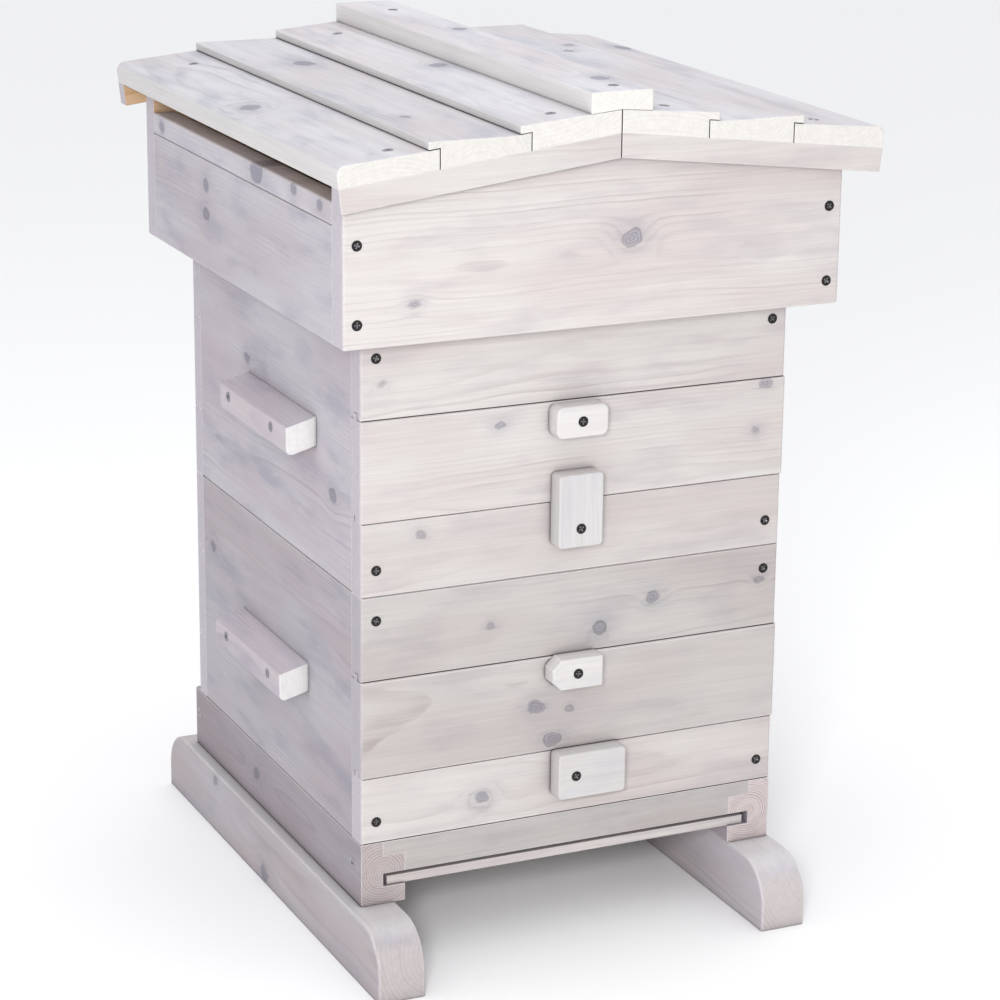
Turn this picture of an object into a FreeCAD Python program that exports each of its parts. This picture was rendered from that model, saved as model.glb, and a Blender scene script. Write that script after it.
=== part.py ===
import FreeCAD, Part
import math
import os
import re
import Sketcher

# A wooden beehive: a floor on two runners, two brood boxes with closers and handles,
# frames in both boxes, a crown board and a low-pitched board roof.
# Millimetres, +Z up, front face towards -Y, ground at z = 0. The overall footprint is
# centred on x = 0 and y = 0; the roof stands a little to the right of the boxes.

Vector = FreeCAD.Vector
doc = FreeCAD.newDocument("Beehive")

# ---------------------------------------------------------------- driving dimensions
SIZES = {
    # boxes, outside
    "box_wide": 430.0,
    "box_deep": 446.0,
    "lower_box_high": 240.0,
    "upper_box_high": 245.0,
    "wall": 22.0,
    # the three tongued boards of a box front, the rest of the height being the top board
    "lower_low_board_high": 65.0,
    "upper_low_board_high": 70.0,
    "lower_mid_board_high": 94.0,
    "upper_mid_board_high": 95.0,
    "mid_board_proud": 1.5,
    "mid_board_over": 0.8,
    "end_round": 2.5,
    "tongue_high": 6.0,
    "tongue_thick": 7.0,
    "arris": 1.2,
    # rabbets in the side boards that carry the frame lugs
    "rabbet_deep": 6.5,
    "rabbet_high": 15.0,
    # runners on the ground
    "runner_wide": 46.0,
    "runner_high": 65.0,
    "runner_reach": 72.0,
    "runner_back_reach": 66.0,
    "runner_nose": 42.0,
    "left_runner_out": 12.0,
    "right_runner_out": 3.0,
    # floor rails with their groove and rabbet
    "rail_wide": 44.0,
    "rail_high": 62.0,
    "rail_over": 12.0,
    "rail_rabbet_high": 14.0,
    "groove_low": 17.0,
    "groove_high": 13.0,
    "rail_screw_up": 36.5,
    "front_rung_deep": 44.0,
    "mesh_thick": 1.0,
    "slide_thick": 8.5,
    "slide_play": 5.0,
    "slide_front": 3.0,
    "slide_back": 8.0,
    # handles, their top and underside rising towards the box
    "handle_long": 178.0,
    "handle_high": 28.5,
    "handle_rise": 8.0,
    "handle_thick": 30.0,
    "handle_round": 6.0,
    "handle_edge": 2.0,
    "upper_handle_y": 107.0,
    "upper_handle_low": 106.7,
    "lower_handle_y": 131.0,
    "lower_handle_low": 98.5,
    "handle_screw_gap": 115.0,
    "handle_screw_down": 8.5,
    "upper_handle_screw_shift": 8.0,
    "lower_handle_screw_shift": 0.0,
    # closers that turn in front of the flight and vent holes
    "closer_thick": 18.2,
    "closer_gap": 1.8,
    "small_closer_long": 52.0,
    "small_closer_high": 30.0,
    "large_closer_long": 70.0,
    "large_closer_high": 45.0,
    "large_closer_heel": 18.0,
    "closer_x": -4.7,
    "closer_corner": 4.0,
    "closer_wide_corner": 7.0,
    "closer_clip": 9.0,
    "closer_edge": 1.8,
    "upper_small_up": 149.0,
    "lower_small_up": 145.5,
    "upper_large_up": 47.0,
    "lower_large_up": 43.0,
    "flight_hole": 22.0,
    "flight_hole_off": 36.0,
    "vent_hole": 10.0,
    "vent_hole_off": 17.0,
    "drill_past": 2.0,
    # frames
    "frame_count": 11.0,
    "frame_pitch": 36.0,
    "frame_wide": 370.0,
    "frame_high": 223.0,
    "lug_long": 394.0,
    "lug_high": 10.0,
    "bar_wide": 25.0,
    "top_bar_high": 20.0,
    "side_bar_thick": 8.0,
    "low_bar_wide": 15.0,
    "low_bar_high": 10.0,
    "wax_thick": 1.5,
    # crown board
    "crown_thick": 9.0,
    "feed_hole": 50.0,
    # roof rim
    "rim_half": 246.6,
    "rim_front": 38.0,
    "rim_back": 42.0,
    "rim_lap": 3.5,
    "gable_thick": 25.0,
    "rim_side_thick": 22.0,
    "rim_board_high": 106.0,
    "rim_strip_high": 20.5,
    "rest_high": 20.0,
    # roof deck
    "roof_shift": 10.5,
    "roof_front": 54.3,
    "roof_back": 98.0,
    "roof_half": 264.4,
    "ridge_up": 173.2,
    "roof_rise": 0.1173,
    "board_cover": 86.5,
    "joint_gap": 1.0,
    "lip": 11.0,
    "lip_gap": 0.8,
    "ridge_gap": 0.6,
    "ridge_board_thick": 21.0,
    "ridge_lip_top": 23.925,
    "ridge_swell": 0.03,
    "mid_edge_thick": 16.0,
    "mid_lip_top": 26.0,
    "eave_thick": 18.0,
    "eave_edge_thick": 20.0,
    "eave_round": 8.0,
    "batten_high": 22.0,
    "batten_thick": 16.2,
    "cap_wide": 60.0,
    "cap_thick": 16.3,
    # screws
    "head_wide": 9.6,
    "head_high": 3.0,
    "head_proud": 0.4,
    "shank_wide": 5.0,
    "pivot_play": 0.08,
    "slot_long": 5.4,
    "slot_wide": 1.4,
    "slot_deep": 1.6,
    "corner_in": 15.0,
    "lower_corner_up": 21.0,
    "upper_corner_up": 25.0,
    "corner_down": 23.0,
    "rim_screw_in": 13.1,
    "rim_screw_low": 18.6,
    "rim_screw_high": 88.7,
    "ridge_screw_run": 56.0,
    "eave_screw_run": 210.0,
    "cap_screw_off": 5.0,
    "rail_screw_long": 70.0,
    "board_screw_long": 50.0,
    "handle_screw_long": 45.0,
    "pivot_screw_long": 38.0,
}

sheet = doc.addObject("Spreadsheet::Sheet", "Sizes")
for row, (alias, value) in enumerate(SIZES.items(), start=1):
    sheet.set(f"A{row}", alias)
    sheet.set(f"B{row}", str(value))
    sheet.setAlias(f"B{row}", alias)
doc.recompute()

# Heights and depths that several pieces share, as formulas over the sheet.
MID = "(-roof_shift)"
FRONT = "((runner_reach - box_deep - roof_back) / 2)"
BACK = f"({FRONT} + box_deep)"
STAND = "(runner_high + rail_high)"
BOX_TOP = f"({STAND} + lower_box_high + upper_box_high)"
RIM_LOW = f"({BOX_TOP} - rim_lap)"
RIDGE = f"({BOX_TOP} + ridge_up)"
ROOF_LONG = "(roof_front + box_deep + roof_back)"

# outlines are first drawn as a ring of this radius, in millimetres, then pulled to size
START_RADIUS = 100.0
# how near two places count as the same, in millimetres
CLOSE = 0.01
# how far each driver recess is turned from the one before, in degrees
SLOT_TURN = 37.0
HALF_TURN = FreeCAD.Rotation(Vector(0, 0, 1), 180)
OUT_FRONT = Vector(0, -1, 0)
OUT_BACK = Vector(0, 1, 0)
OUT_LEFT = Vector(-1, 0, 0)
OUT_RIGHT = Vector(1, 0, 0)

parts = {}


# ---------------------------------------------------------------- helpers
def sized(formula):
    """A formula with every driving dimension pointed at the sheet."""
    return re.sub(r"[a-z][a-z_]*", lambda word: "Sizes." + word.group(), str(formula))


def size(alias):
    """The present value of one driving dimension."""
    return float(sheet.get(alias))


def bind(thing, **formulas):
    """Ties properties of an object to formulas over the sheet."""
    for name, formula in formulas.items():
        thing.setExpression(name, sized(formula))


def place(thing, x, y, z, turn=None):
    """Puts an object's own origin at a place given by formulas."""
    if turn:
        thing.Placement = FreeCAD.Placement(Vector(), turn)
    for axis, formula in zip("xyz", (x, y, z)):
        thing.setExpression(f".Placement.Base.{axis}", sized(formula))
    return thing


def keep(name, thing):
    """Names an object as one finished sub-part."""
    thing.Label = name
    parts[name] = thing
    return thing


def prism(name, role, corners, length):
    """A body padded from a closed outline of straight edges.

    role is the origin plane of the sketch; the pad runs along the plane's positive axis.
    """
    body = doc.addObject("PartDesign::Body", name)
    plane = next(item for item in body.Origin.OriginFeatures if item.Role == role)
    outline = body.newObject("Sketcher::SketchObject", f"{name}_outline")
    outline.AttachmentSupport = [(plane, "")]
    outline.MapMode = "FlatFace"
    count = len(corners)
    ring = []
    for index in range(count):
        angle = 2 * math.pi * index / count
        ring.append(Vector(math.cos(angle), math.sin(angle), 0) * START_RADIUS)
    for index in range(count):
        outline.addGeometry(Part.LineSegment(ring[index], ring[(index + 1) % count]))
    for index in range(count):
        outline.addConstraint(Sketcher.Constraint("Coincident", index, 2, (index + 1) % count, 1))
    for index, corner in enumerate(corners):
        for kind, formula, start in zip(("DistanceX", "DistanceY"), corner, ring[index]):
            rule = outline.addConstraint(Sketcher.Constraint(kind, -1, 1, index, 1, start))
            outline.setExpression(f"Constraints[{rule}]", sized(formula))
    pad = body.newObject("PartDesign::Pad", f"{name}_pad")
    pad.Profile = outline
    pad.Reversed = role == "XZ_Plane"
    bind(pad, Length=length)
    outline.Visibility = False
    doc.recompute()
    return body


def dress(body, kind, amount, chosen):
    """Rounds or chamfers the edges of a body's last feature that pass a test."""
    base = body.Tip
    edges = [f"Edge{n}" for n, edge in enumerate(base.Shape.Edges, 1) if chosen(edge)]
    feature = body.newObject(f"PartDesign::{kind}", f"{body.Name}_{kind.lower()}{len(edges)}")
    feature.Base = (base, edges)
    bind(feature, **{"Radius" if kind == "Fillet" else "Size": amount})
    doc.recompute()


def along(edge, axis):
    """True for a straight edge that runs along one axis (0, 1 or 2)."""
    first, last = edge.Vertexes[0].Point, edge.Vertexes[-1].Point
    return edge.Length - abs(last[axis] - first[axis]) < CLOSE


def at(edge, axis, value):
    """True for an edge whose middle lies at one height along an axis."""
    return abs(edge.CenterOfMass[axis] - value) < CLOSE


def slab(name, length, width, height):
    """A plain board."""
    board = doc.addObject("Part::Box", name)
    bind(board, Length=length, Width=width, Height=height)
    return board


def drill(name, wide, deep):
    """A round cutter that runs along Y from its own origin."""
    bit = doc.addObject("Part::Cylinder", name)
    bind(bit, Radius=f"{wide} / 2", Height=deep)
    bit.Placement = FreeCAD.Placement(Vector(), FreeCAD.Rotation(Vector(1, 0, 0), -90))
    return bit


def cut(name, base, *cutters):
    """A sub-part with screw holes or openings taken out of it."""
    for number, cutter in enumerate(cutters):
        result = doc.addObject("Part::Cut", f"{name}_cut{number}")
        result.Base = base
        result.Tool = cutter
        base = result
    return keep(name, base)


def group(name, solids):
    """One node of separate solids, such as a set of alike screws."""
    holder = doc.addObject("Part::Feature", name)
    holder.Shape = Part.makeCompound(solids)
    return holder


def hive(x, y, z):
    """A point given from the boxes' middle, their front face and the ground."""
    front = (size("runner_reach") - size("box_deep") - size("roof_back")) / 2
    return Vector(x - size("roof_shift"), front + y, z)


# ---------------------------------------------------------------- screws
def screw(length, play=0.0):
    """A countersunk screw, head up, with the board's face at z = 0."""
    head = size("head_wide") / 2 + play
    shank = size("shank_wide") / 2 + play
    sunk = size("head_high") + play
    rim = Part.makeCylinder(head, size("head_proud") + play)
    cone = Part.makeCone(shank, head, sunk, Vector(0, 0, -sunk))
    stem = Part.makeCylinder(shank, length - sunk, Vector(0, 0, -length))
    return rim.fuse([cone, stem]).removeSplitter()


def cross_slot(turn):
    """The driver recess of one screw, turned about the screw's own axis."""
    long, wide, deep = size("slot_long"), size("slot_wide"), size("slot_deep")
    low = size("head_proud") - deep
    high = deep + size("drill_past")
    first = Part.makeBox(long, wide, high, Vector(-long / 2, -wide / 2, low))
    second = Part.makeBox(wide, long, high, Vector(-wide / 2, -long / 2, low))
    cross = first.fuse(second).removeSplitter()
    cross.rotate(Vector(), Vector(0, 0, 1), turn)
    return cross


def set_screws(name, places):
    """Screws at (point, outward direction, length); returns the plain screws as a cutter."""
    plain, slots = [], []
    for number, (point, outward, length) in enumerate(places):
        stand = FreeCAD.Placement(point, FreeCAD.Rotation(Vector(0, 0, 1), outward))
        for shape, pile in ((screw(length), plain), (cross_slot(SLOT_TURN * number), slots)):
            shape.Placement = stand.multiply(shape.Placement)
            pile.append(shape)
    holes = group(f"{name}_shapes", plain)
    recesses = group(f"{name}_slots", slots)
    cut(name, holes, recesses)
    return holes


# ---------------------------------------------------------------- floor
def make_runners():
    """Two runners with rounded noses, standing on the ground."""
    long = "(runner_reach + box_deep + runner_back_reach)"
    outline = [("0", "0"), (long, "0"), (long, "runner_high"), ("0", "runner_high")]
    ends = (0.0, size("runner_reach") + size("box_deep") + size("runner_back_reach"))
    for side, x in (
        ("left", f"{MID} - box_wide / 2 - left_runner_out"),
        ("right", f"{MID} + box_wide / 2 + right_runner_out - runner_wide"),
    ):
        body = prism(f"runner_{side}", "YZ_Plane", outline, "runner_wide")
        dress(
            body, "Fillet", "runner_nose",
            lambda edge: along(edge, 0) and at(edge, 2, size("runner_high"))
            and (at(edge, 1, ends[0]) or at(edge, 1, ends[1])),
        )
        dress(body, "Chamfer", "arris", lambda edge: along(edge, 1) and at(edge, 2, size("runner_high")))
        place(body, x, f"{FRONT} - runner_reach", "0")
        keep(f"runner_{side}", body)


def make_floor():
    """Rails with a groove for the slide, the rungs between them, the mesh and the slide."""
    half_rail = "rail_wide / 2"
    groove_top = "(groove_low + groove_high)"
    shelf = "(rail_high - rail_rabbet_high)"
    rail = [
        ("0", "0"), ("rail_wide - arris", "0"), ("rail_wide", "arris"),
        ("rail_wide", "rail_high - arris"), ("rail_wide - arris", "rail_high"),
        (half_rail, "rail_high"), (half_rail, shelf), ("0", shelf), ("0", groove_top),
        (half_rail, groove_top), (half_rail, "groove_low"), ("0", "groove_low"),
    ]
    inner = "(box_wide / 2 - rail_wide)"
    shelf_edge = f"({inner} + {half_rail})"
    screw_up = size("runner_high") + size("rail_screw_up")
    side = size("box_wide") / 2
    deep = size("box_deep") + size("rail_over")
    places = []
    for x, outward in ((-side, OUT_LEFT), (side, OUT_RIGHT)):
        for y in (size("front_rung_deep") / 2, deep - size("wall") / 2):
            places.append((hive(x, y, screw_up), outward, size("rail_screw_long")))
    holes = set_screws("floor_screws", places)

    rail_long = "(box_deep + rail_over)"
    rail_back = f"({BACK} + rail_over)"
    right = prism("rail_right", "XZ_Plane", rail, rail_long)
    place(right, f"{MID} + {inner}", FRONT, "runner_high")
    cut("floor_rail_right", right, holes)
    left = prism("rail_left", "XZ_Plane", rail, rail_long)
    place(left, f"{MID} - {inner}", rail_back, "runner_high", HALF_TURN)
    cut("floor_rail_left", left, holes)

    rise = f"(rail_high - rail_rabbet_high - {groove_top})"
    top = f"(rail_high - {groove_top})"
    rung = [
        (f"-{inner}", "0"), (inner, "0"), (inner, rise), (shelf_edge, rise),
        (shelf_edge, top), (f"-{shelf_edge}", top), (f"-{shelf_edge}", rise), (f"-{inner}", rise),
    ]
    for end, y, deep_formula in (
        ("front", FRONT, "front_rung_deep"),
        ("back", f"{rail_back} - wall", "wall"),
    ):
        body = prism(f"rung_{end}", "XZ_Plane", rung, deep_formula)
        place(body, MID, y, f"runner_high + {groove_top}")
        cut(f"floor_{end}_board", body, holes)

    mesh = slab("mesh_floor", f"2 * {shelf_edge}", f"{rail_long} - front_rung_deep - wall", "mesh_thick")
    place(mesh, f"{MID} - {shelf_edge}", f"{FRONT} + front_rung_deep", f"runner_high + {shelf}")
    keep("mesh_floor", mesh)
    slide_half = f"({shelf_edge} - slide_play)"
    slide_long = f"{rail_long} - slide_front - slide_back"
    slide = slab("slide_board", f"2 * {slide_half}", slide_long, "slide_thick")
    place(slide, f"{MID} - {slide_half}", f"{FRONT} + slide_front", "runner_high + groove_low")
    keep("slide_board", slide)


# ---------------------------------------------------------------- boxes
def front_board(name, high, proud, over, grooved, tongued):
    """One board of a box front: outside at y = -proud, inside at y = wall."""
    near = "(wall / 2 - tongue_thick / 2)"
    far = "(wall / 2 + tongue_thick / 2)"
    out = f"(0 - {proud})"
    outline = [(f"{out} + arris", "0")]
    if grooved:
        outline += [(near, "0"), (near, "tongue_high"), (far, "tongue_high"), (far, "0")]
    outline += [("wall", "0"), ("wall", high)]
    if tongued:
        outline += [
            (far, high), (far, f"{high} + tongue_high"),
            (near, f"{high} + tongue_high"), (near, high),
        ]
    outline += [(f"{out} + arris", high), (out, f"{high} - arris"), (out, "arris")]
    body = prism(name, "YZ_Plane", outline, f"box_wide + 2 * {over}")
    outside = min(vertex.Y for vertex in body.Shape.Vertexes)
    dress(body, "Fillet", "end_round", lambda edge: along(edge, 2) and at(edge, 1, outside))
    return body


def make_closer(name, up, long, high, heel, upright, corner, pivot):
    """A wooden block that turns about a screw, heel being how far the screw is from one end.

    corner is the radius of its corners; a clipped block has two corners cut off instead.
    """
    reach = f"({long} - {heel})"
    half = f"({high} / 2)"
    if upright:
        low_x, high_x, low_z, high_z = f"-{half}", half, f"-{heel}", reach
    else:
        low_x, high_x, low_z, high_z = f"-{heel}", reach, f"-{half}", half
    outline = [(low_x, low_z), (high_x, low_z), (high_x, high_z), (low_x, high_z)]
    body = prism(f"{name}_block", "XZ_Plane", outline, "closer_thick")
    left_x = min(vertex.X for vertex in body.Shape.Vertexes)
    right_x = max(vertex.X for vertex in body.Shape.Vertexes)
    if corner == "clipped":
        dress(body, "Chamfer", "closer_clip", lambda edge: along(edge, 1) and at(edge, 0, left_x))
        dress(body, "Fillet", "closer_corner / 2", lambda edge: along(edge, 1) and at(edge, 0, right_x))
    else:
        dress(body, "Fillet", corner, lambda edge: along(edge, 1))
    dress(body, "Fillet", "closer_edge", lambda edge: at(edge, 1, 0.0))
    place(body, f"{MID} + closer_x", f"{FRONT} - closer_gap - closer_thick", up)
    return cut(name, body, pivot)


def make_handle(name, side, y, up, holes):
    """A batten screwed to a box side: its top sheds rain, its underside gives the fingers a hold."""
    outline = [
        ("0", "handle_rise"), ("handle_thick", "0"),
        ("handle_thick", "handle_high"), ("0", "handle_rise + handle_high"),
    ]
    body = prism(f"{name}_batten", "XZ_Plane", outline, "handle_long")
    thick = size("handle_thick")
    dress(
        body, "Fillet", "handle_round",
        lambda edge: along(edge, 1) and at(edge, 0, thick) and at(edge, 2, 0.0),
    )
    dress(
        body, "Fillet", "handle_edge",
        lambda edge: at(edge, 0, thick) and (along(edge, 2) or at(edge, 2, size("handle_high"))),
    )
    if side == "right":
        place(body, f"{MID} + box_wide / 2", f"{FRONT} + {y}", up)
    else:
        place(body, f"{MID} - box_wide / 2", f"{FRONT} + {y} + handle_long", up, HALF_TURN)
    return cut(name, body, holes)


def make_box(name, level):
    """One box: six front and back boards, two sides, handles, closers and screws."""
    foot = size("runner_high") + size("rail_high") + level * size("lower_box_high")
    foot_formula = f"({STAND} + {level} * lower_box_high)"
    box_high = f"{name}_box_high"
    half, deep = size("box_wide") / 2, size("box_deep")
    handle_middle = size(f"{name}_handle_y") + size("handle_long") / 2
    handle_y = handle_middle + size(f"{name}_handle_screw_shift")
    handle_up = foot + size(f"{name}_handle_low") + size("handle_high") - size("handle_screw_down")
    pivot_x = size("closer_x")
    pivot_y = -size("closer_gap") - size("closer_thick")
    small_up = foot + size(f"{name}_small_up")
    large_up = foot + size(f"{name}_large_up")

    places = []
    for x in (size("corner_in") - half, half - size("corner_in")):
        for up in (size(f"{name}_corner_up"), size(box_high) - size("corner_down")):
            places.append((hive(x, 0, foot + up), OUT_FRONT, size("board_screw_long")))
            places.append((hive(x, deep, foot + up), OUT_BACK, size("board_screw_long")))
    for way, outward in ((-1, OUT_LEFT), (1, OUT_RIGHT)):
        for step in (-0.5, 0.5):
            y = handle_y + step * size("handle_screw_gap")
            head = hive(way * (half + size("handle_thick")), y, handle_up)
            places.append((head, outward, size("handle_screw_long")))
    pivots = []
    for up in (small_up, large_up):
        pivots.append((hive(pivot_x, pivot_y, up), OUT_FRONT, size("pivot_screw_long")))
    holes = set_screws(f"{name}_screws", places + pivots)

    clearances = []
    for point, outward, length in pivots:
        shape = screw(length, size("pivot_play"))
        shape.Placement = FreeCAD.Placement(point, FreeCAD.Rotation(Vector(0, 0, 1), outward))
        clearances.append(shape)
    pivot_clearance = group(f"{name}_pivot_clearance", clearances)

    # flight and vent holes behind the closers
    large_upright = name == "upper"
    run = "wall + mid_board_proud + 2 * drill_past"
    start = f"{FRONT} - mid_board_proud - drill_past"
    flight = drill(f"{name}_flight_hole", "flight_hole", run)
    flight_x = "closer_x" if large_upright else "(closer_x + flight_hole_off)"
    flight_up = f"{name}_large_up + flight_hole_off" if large_upright else f"{name}_large_up"
    place(flight, f"{MID} + {flight_x}", start, f"{foot_formula} + {flight_up}")
    vent = drill(f"{name}_vent_hole", "vent_hole", run)
    place(vent, f"{MID} + closer_x - vent_hole_off", start, f"{foot_formula} + {name}_small_up")

    low_high, mid_high = f"{name}_low_board_high", f"{name}_mid_board_high"
    top_high = f"({box_high} - {low_high} - {mid_high})"
    rows = (
        ("bottom", low_high, False, True, foot_formula),
        ("middle", mid_high, True, True, f"{foot_formula} + {low_high}"),
        ("top", top_high, True, False, f"{foot_formula} + {low_high} + {mid_high}"),
    )
    for row, high, grooved, tongued, up in rows:
        # the middle board of the front stands a little proud of its neighbours
        proud, over = ("mid_board_proud", "mid_board_over") if row == "middle" else ("0", "0")
        front = front_board(f"{name}_front_{row}_plank", high, proud, over, grooved, tongued)
        place(front, f"{MID} - box_wide / 2 - {over}", FRONT, up)
        bees_way = [flight, vent] if row != "top" else []
        cut(f"{name}_front_{row}_board", front, holes, *bees_way)
        back = front_board(f"{name}_back_{row}_plank", high, "0", "0", grooved, tongued)
        place(back, f"{MID} + box_wide / 2", BACK, up, HALF_TURN)
        cut(f"{name}_back_{row}_board", back, holes)

    shelf = f"({box_high} - rabbet_high)"
    side_outline = [
        ("arris", "0"), ("wall", "0"), ("wall", shelf), ("wall - rabbet_deep", shelf),
        ("wall - rabbet_deep", box_high), ("arris", box_high),
        ("0", f"{box_high} - arris"), ("0", "arris"),
    ]
    for side in ("left", "right"):
        panel = prism(f"{name}_{side}_panel", "XZ_Plane", side_outline, "box_deep - 2 * wall")
        if side == "left":
            place(panel, f"{MID} - box_wide / 2", f"{FRONT} + wall", foot_formula)
        else:
            place(panel, f"{MID} + box_wide / 2", f"{BACK} - wall", foot_formula, HALF_TURN)
        cut(f"{name}_side_{side}", panel, holes)
        handle_foot = f"{foot_formula} + {name}_handle_low"
        make_handle(f"{name}_handle_{side}", side, f"{name}_handle_y", handle_foot, holes)

    make_closer(
        f"{name}_small_closer", f"{foot_formula} + {name}_small_up",
        "small_closer_long", "small_closer_high", "small_closer_long / 2",
        False, "clipped" if name == "lower" else "closer_wide_corner", pivot_clearance,
    )
    make_closer(
        f"{name}_large_closer", f"{foot_formula} + {name}_large_up",
        "large_closer_long", "large_closer_high", "large_closer_heel",
        large_upright, "closer_corner", pivot_clearance,
    )


def make_frames(name, level):
    """The frames of one box and the wax sheet inside each."""
    shelf = size(f"{name}_box_high") - size("rabbet_high")
    foot = size("runner_high") + size("rail_high") + level * size("lower_box_high")
    lug_low = foot + shelf
    top = lug_low + size("lug_high")
    low = top - size("frame_high")
    wide, bar = size("frame_wide"), size("bar_wide")
    under_top = top - size("top_bar_high")
    stile = size("side_bar_thick")
    low_top = low + size("low_bar_high")
    count = int(size("frame_count"))
    room = size("box_deep") - 2 * size("wall")
    first = size("wall") + (room - (count - 1) * size("frame_pitch")) / 2

    def block(x_size, y_size, z_low, z_high, y, x_low=None):
        x_start = -x_size / 2 if x_low is None else x_low
        return Part.makeBox(x_size, y_size, z_high - z_low, hive(x_start, y - y_size / 2, z_low))

    frames, sheets = [], []
    for number in range(count):
        y = first + number * size("frame_pitch")
        lugs = block(size("lug_long"), bar, lug_low, top, y)
        top_bar = block(wide, bar, under_top, top, y)
        left = block(stile, bar, low, under_top, y, -wide / 2)
        right = block(stile, bar, low, under_top, y, wide / 2 - stile)
        low_bar = block(wide - 2 * stile, size("low_bar_wide"), low, low_top, y)
        frames.append(lugs.fuse([top_bar, left, right, low_bar]).removeSplitter())
        sheets.append(block(wide - 2 * stile, size("wax_thick"), low_top, under_top, y))
    keep(f"{name}_frames", group(f"{name}_frames", frames))
    keep(f"{name}_foundations", group(f"{name}_foundations", sheets))


def make_crown_board():
    """The cover over the frames, with a round feed hole."""
    board = slab("crown_sheet", "box_wide", "box_deep", "crown_thick")
    place(board, f"{MID} - box_wide / 2", FRONT, BOX_TOP)
    hole = doc.addObject("Part::Cylinder", "feed_hole_cutter")
    bind(hole, Radius="feed_hole / 2", Height="crown_thick + 2 * drill_past")
    place(hole, MID, f"{FRONT} + box_deep / 2", f"{BOX_TOP} - drill_past")
    cut("crown_board", board, hole)


# ---------------------------------------------------------------- roof
def slope(run, up):
    """A point of the roof's cross-section: run from the ridge, up from the deck's underside."""
    return (f"{run}", f"{up} - {run} * roof_rise")


def square_end(up):
    """How far out the square-cut eave end is, at a height above the deck's underside."""
    return f"(roof_half + roof_rise * ({up} + batten_high))"


def mirrored(outline, side):
    """The same cross-section for the left or the right slope."""
    if side == "right":
        return outline
    return [(f"0 - ({x})", z) for x, z in outline]


def make_deck(holes):
    """Three lapped boards on each slope."""
    first, second = "board_cover", "(2 * board_cover)"
    after_first, after_second = "(board_cover + joint_gap)", "(2 * board_cover + joint_gap)"
    first_lip, second_lip = "(board_cover + lip)", "(2 * board_cover + lip)"
    outlines = {
        "ridge": [
            slope("ridge_gap", "0"), slope(first, "0"), slope(first, "(mid_edge_thick + lip_gap)"),
            slope(first_lip, "(mid_edge_thick + lip_gap)"), slope(first_lip, "ridge_lip_top"),
            slope("ridge_gap", "(ridge_board_thick + ridge_gap * ridge_swell)"),
        ],
        "middle": [
            slope(after_first, "0"), slope(second, "0"), slope(second, "(eave_thick + lip_gap)"),
            slope(second_lip, "(eave_thick + lip_gap)"), slope(second_lip, "mid_lip_top"),
            slope(first_lip, "mid_edge_thick"), slope(after_first, "mid_edge_thick"),
        ],
        "eave": [
            slope(after_second, "0"), slope(square_end("0"), "0"),
            slope(square_end("eave_edge_thick"), "eave_edge_thick"),
            slope(second_lip, "eave_thick"), slope(after_second, "eave_thick"),
        ],
    }
    for side in ("left", "right"):
        for row, outline in outlines.items():
            body = prism(f"{side}_{row}_plank", "XZ_Plane", mirrored(outline, side), ROOF_LONG)
            tops = [edge for edge in body.Tip.Shape.Edges if along(edge, 1)]
            outermost = max(tops, key=lambda edge: abs(edge.CenterOfMass.x))
            crest = outermost.CenterOfMass
            if row == "eave":
                dress(body, "Fillet", "eave_round",
                      lambda edge: along(edge, 1) and at(edge, 0, crest.x) and at(edge, 2, crest.z))
            else:
                lip_top = max((edge for edge in tops if at(edge, 0, crest.x)),
                              key=lambda edge: edge.CenterOfMass.z).CenterOfMass
                dress(body, "Fillet", "arris",
                      lambda edge: along(edge, 1) and at(edge, 0, lip_top.x) and at(edge, 2, lip_top.z))
            for end in (0.0, size("roof_front") + size("box_deep") + size("roof_back")):
                upper = [edge for edge in body.Tip.Shape.Edges if at(edge, 1, end)]
                crown = max(upper, key=lambda edge: (edge.Length > size("cap_wide"), edge.CenterOfMass.z))
                dress(body, "Fillet", "arris",
                      lambda edge: at(edge, 1, end) and at(edge, 2, crown.CenterOfMass.z))
            place(body, "0", f"{FRONT} - roof_front", RIDGE)
            cut(f"roof_{side}_{row}_board", body, holes)


def make_cap(holes):
    """The cap over the ridge joint, hollowed to sit on both slopes."""
    half = "(cap_wide / 2)"
    foot = f"(ridge_board_thick - {half} * (roof_rise - ridge_swell))"
    top = "(ridge_board_thick + cap_thick)"
    outline = [("0", "ridge_board_thick"), (half, foot), (half, top), (f"-{half}", top), (f"-{half}", foot)]
    body = prism("cap_plank", "XZ_Plane", outline, ROOF_LONG)
    level = size("ridge_board_thick") + size("cap_thick")
    dress(body, "Fillet", "arris", lambda edge: at(edge, 2, level))
    place(body, "0", f"{FRONT} - roof_front", RIDGE)
    cut("ridge_cap", body, holes)


def make_rakes():
    """Battens under the ends of the roof boards, front and back."""
    outline = [
        slope("ridge_gap", "0 - batten_high"), slope("roof_half", "0 - batten_high"),
        slope(square_end("0"), "0"), slope("ridge_gap", "0"),
    ]
    for end, y in (("front", f"{FRONT} - roof_front"), ("back", f"{BACK} + roof_back - batten_thick")):
        for side in ("left", "right"):
            body = prism(f"rake_{end}_{side}_bar", "XZ_Plane", mirrored(outline, side), "batten_thick")
            place(body, "0", y, RIDGE)
            keep(f"rake_{end}_{side}", body)


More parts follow.
